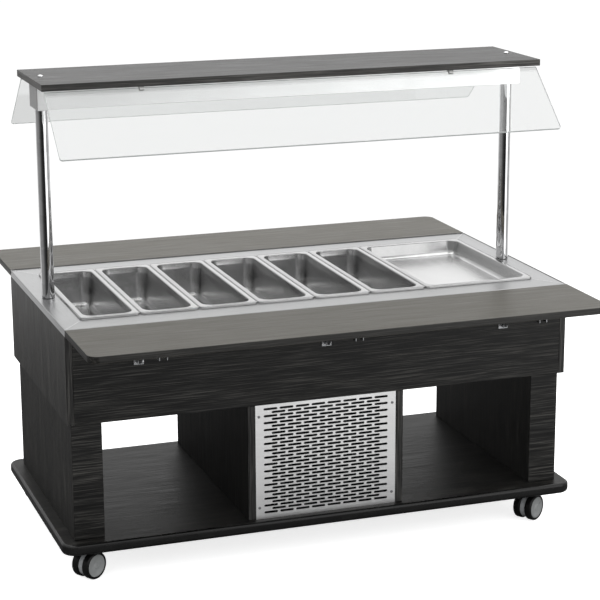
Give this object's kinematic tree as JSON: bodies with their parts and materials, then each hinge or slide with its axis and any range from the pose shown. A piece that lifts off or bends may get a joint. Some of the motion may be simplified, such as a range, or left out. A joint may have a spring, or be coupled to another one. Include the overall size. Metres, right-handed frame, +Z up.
{
  "type": "buffet trolley",
  "caption": "Buffet trolley with a cooled well of lift-out pans, fold-down side shelves, an open base on twin-wheel castors, and a lit canopy with glass guards on posts.",
  "frame": {"origin": "on the floor under the middle of the counter", "axes": "+X along the counter towards the full-size tray, -Y towards the grille side shown in the picture, +Z up"},
  "size_m": [1.474, 1.24, 1.297],
  "materials": {
    "dark_laminate": "near-black wood-grain laminate on board, satin",
    "black_board": "black laminate with a rounded edge, satin",
    "stainless": "fine brushed stainless sheet",
    "chrome": "polished",
    "clear_glass": "clear, polished edges",
    "zinc_steel": "bright zinc plate",
    "castor_tyre": "black tyre with a grey hub disc",
    "castor_grey": "moulded, satin",
    "opal_plastic": "opal diffuser",
    "clamp_steel": "satin",
    "foam": "rigid foam",
    "black_plastic": "moulded",
    "rocker_green": "lit rocker",
    "rocker_black": "rocker",
    "aluminium_fins": "black-coated finned coil",
    "machine_black": "black enamel",
    "drain_plastic": "grey pipe"
  },
  "bodies": {
    "cabinet": {"end_panel_left": "dark_laminate", "end_panel_right": "dark_laminate", "apron_front": "dark_laminate", "apron_rear": "dark_laminate", "body_floor": "dark_laminate", "pedestals": "dark_laminate", "housing_sides": "dark_laminate", "canopy_board": "dark_laminate", "base_plate": "black_board", "steel_top": "stainless", "well_tub": "stainless", "light_box": "stainless", "front_grille": "stainless", "service_panel": "stainless", "posts": "chrome", "tie_rods": "chrome", "glass_front": "clear_glass", "glass_rear": "clear_glass", "bracket_plates": "zinc_steel", "castor_plates": "zinc_steel", "led_light": "opal_plastic", "glass_clamps": "clamp_steel", "well_insulation": "foam", "thermostat": "black_plastic", "switch_frames": "black_plastic", "cable_gland": "black_plastic", "condenser": "aluminium_fins", "compressor": "machine_black", "fan_motor": "machine_black", "drain_pipe": "drain_plastic"},
    "front_shelf": {"shelf_front": "dark_laminate", "shelf_arms_front": "zinc_steel"},
    "rear_shelf": {"shelf_rear": "dark_laminate", "shelf_arms_rear": "zinc_steel"},
    "front_links": {"links_front": "zinc_steel"},
    "rear_links": {"links_rear": "zinc_steel"},
    "fan": {"fan_rotor": "black_plastic"},
    "power_rocker": {"rocker_power": "rocker_green"},
    "light_rocker": {"rocker_light": "rocker_black"},
    "serving_tray": {"tray": "stainless"},
    "serving_pan_1": {"pan_1": "stainless"},
    "serving_pan_2": {"pan_2": "stainless"},
    "serving_pan_3": {"pan_3": "stainless"},
    "serving_pan_4": {"pan_4": "stainless"},
    "serving_pan_5": {"pan_5": "stainless"},
    "serving_pan_6": {"pan_6": "stainless"},
    "castor_front_left": {"castor_horn_front_left": "castor_grey"},
    "wheel_front_left_a": {"castor_wheel_front_left_a": "castor_tyre"},
    "wheel_front_left_b": {"castor_wheel_front_left_b": "castor_tyre"},
    "castor_front_right": {"castor_horn_front_right": "castor_grey"},
    "wheel_front_right_a": {"castor_wheel_front_right_a": "castor_tyre"},
    "wheel_front_right_b": {"castor_wheel_front_right_b": "castor_tyre"},
    "castor_rear_left": {"castor_horn_rear_left": "castor_grey"},
    "wheel_rear_left_a": {"castor_wheel_rear_left_a": "castor_tyre"},
    "wheel_rear_left_b": {"castor_wheel_rear_left_b": "castor_tyre"},
    "castor_rear_right": {"castor_horn_rear_right": "castor_grey"},
    "wheel_rear_right_a": {"castor_wheel_rear_right_a": "castor_tyre"},
    "wheel_rear_right_b": {"castor_wheel_rear_right_b": "castor_tyre"}
  },
  "joints": [
    {"name": "front_shelf_fold", "type": "hinge", "parent": "cabinet", "child": "front_shelf", "pos_m": [0, -0.362, 0.66], "axis": [1, 0, 0], "range_deg": [0, 90]},
    {"name": "front_links_turn", "type": "hinge", "parent": "cabinet", "child": "front_links", "pos_m": [0, -0.362, 0.592], "axis": [1, 0, 0], "range_deg": [0, 130.5]},
    {"name": "rear_shelf_fold", "type": "hinge", "parent": "cabinet", "child": "rear_shelf", "pos_m": [0, 0.362, 0.66], "axis": [-1, 0, 0], "range_deg": [0, 90]},
    {"name": "rear_links_turn", "type": "hinge", "parent": "cabinet", "child": "rear_links", "pos_m": [0, 0.362, 0.592], "axis": [-1, 0, 0], "range_deg": [0, 130.5]},
    {"name": "pan_1_lift", "type": "slide", "parent": "cabinet", "child": "serving_pan_1", "axis": [0, 0, 1], "range_m": [0, 0.15]},
    {"name": "pan_2_lift", "type": "slide", "parent": "cabinet", "child": "serving_pan_2", "axis": [0, 0, 1], "range_m": [0, 0.15]},
    {"name": "pan_3_lift", "type": "slide", "parent": "cabinet", "child": "serving_pan_3", "axis": [0, 0, 1], "range_m": [0, 0.15]},
    {"name": "pan_4_lift", "type": "slide", "parent": "cabinet", "child": "serving_pan_4", "axis": [0, 0, 1], "range_m": [0, 0.15]},
    {"name": "pan_5_lift", "type": "slide", "parent": "cabinet", "child": "serving_pan_5", "axis": [0, 0, 1], "range_m": [0, 0.15]},
    {"name": "pan_6_lift", "type": "slide", "parent": "cabinet", "child": "serving_pan_6", "axis": [0, 0, 1], "range_m": [0, 0.15]},
    {"name": "tray_lift", "type": "slide", "parent": "cabinet", "child": "serving_tray", "axis": [0, 0, 1], "range_m": [0, 0.15]},
    {"name": "castor_front_left_swivel", "type": "hinge", "parent": "cabinet", "child": "castor_front_left", "pos_m": [-0.643, -0.313, 0.078], "axis": [0, 0, 1], "continuous": true},
    {"name": "wheel_front_left_a_spin", "type": "hinge", "parent": "castor_front_left", "child": "wheel_front_left_a", "pos_m": [-0.66166, -0.32466, 0.0375], "axis": [0.5299, -0.848, 0], "continuous": true},
    {"name": "wheel_front_left_b_spin", "type": "hinge", "parent": "castor_front_left", "child": "wheel_front_left_b", "pos_m": [-0.66166, -0.32466, 0.0375], "axis": [0.5299, -0.848, 0], "continuous": true},
    {"name": "castor_front_right_swivel", "type": "hinge", "parent": "cabinet", "child": "castor_front_right", "pos_m": [0.643, -0.313, 0.078], "axis": [0, 0, 1], "continuous": true},
    {"name": "wheel_front_right_a_spin", "type": "hinge", "parent": "castor_front_right", "child": "wheel_front_right_a", "pos_m": [0.62434, -0.32466, 0.0375], "axis": [0.5299, -0.848, 0], "continuous": true},
    {"name": "wheel_front_right_b_spin", "type": "hinge", "parent": "castor_front_right", "child": "wheel_front_right_b", "pos_m": [0.62434, -0.32466, 0.0375], "axis": [0.5299, -0.848, 0], "continuous": true},
    {"name": "castor_rear_left_swivel", "type": "hinge", "parent": "cabinet", "child": "castor_rear_left", "pos_m": [-0.643, 0.313, 0.078], "axis": [0, 0, 1], "continuous": true},
    {"name": "wheel_rear_left_a_spin", "type": "hinge", "parent": "castor_rear_left", "child": "wheel_rear_left_a", "pos_m": [-0.66166, 0.30134, 0.0375], "axis": [0.5299, -0.848, 0], "continuous": true},
    {"name": "wheel_rear_left_b_spin", "type": "hinge", "parent": "castor_rear_left", "child": "wheel_rear_left_b", "pos_m": [-0.66166, 0.30134, 0.0375], "axis": [0.5299, -0.848, 0], "continuous": true},
    {"name": "castor_rear_right_swivel", "type": "hinge", "parent": "cabinet", "child": "castor_rear_right", "pos_m": [0.643, 0.313, 0.078], "axis": [0, 0, 1], "continuous": true},
    {"name": "wheel_rear_right_a_spin", "type": "hinge", "parent": "castor_rear_right", "child": "wheel_rear_right_a", "pos_m": [0.62434, 0.30134, 0.0375], "axis": [0.5299, -0.848, 0], "continuous": true},
    {"name": "wheel_rear_right_b_spin", "type": "hinge", "parent": "castor_rear_right", "child": "wheel_rear_right_b", "pos_m": [0.62434, 0.30134, 0.0375], "axis": [0.5299, -0.848, 0], "continuous": true},
    {"name": "fan_spin", "type": "hinge", "parent": "cabinet", "child": "fan", "pos_m": [0, -0.2495, 0.245], "axis": [0, 1, 0], "continuous": true},
    {"name": "power_switch_rock", "type": "hinge", "parent": "cabinet", "child": "power_rocker", "pos_m": [0, 0.3505, 0.387], "axis": [-1, 0, 0], "range_deg": [0, 16]},
    {"name": "light_switch_rock", "type": "hinge", "parent": "cabinet", "child": "light_rocker", "pos_m": [0.09, 0.3505, 0.387], "axis": [-1, 0, 0], "range_deg": [0, 16]}
  ],
  "couplings": [
    {"joint": "front_links_turn", "follows": "front_shelf_fold", "ratio": 1.4485},
    {"joint": "rear_links_turn", "follows": "rear_shelf_fold", "ratio": 1.4485}
  ]
}
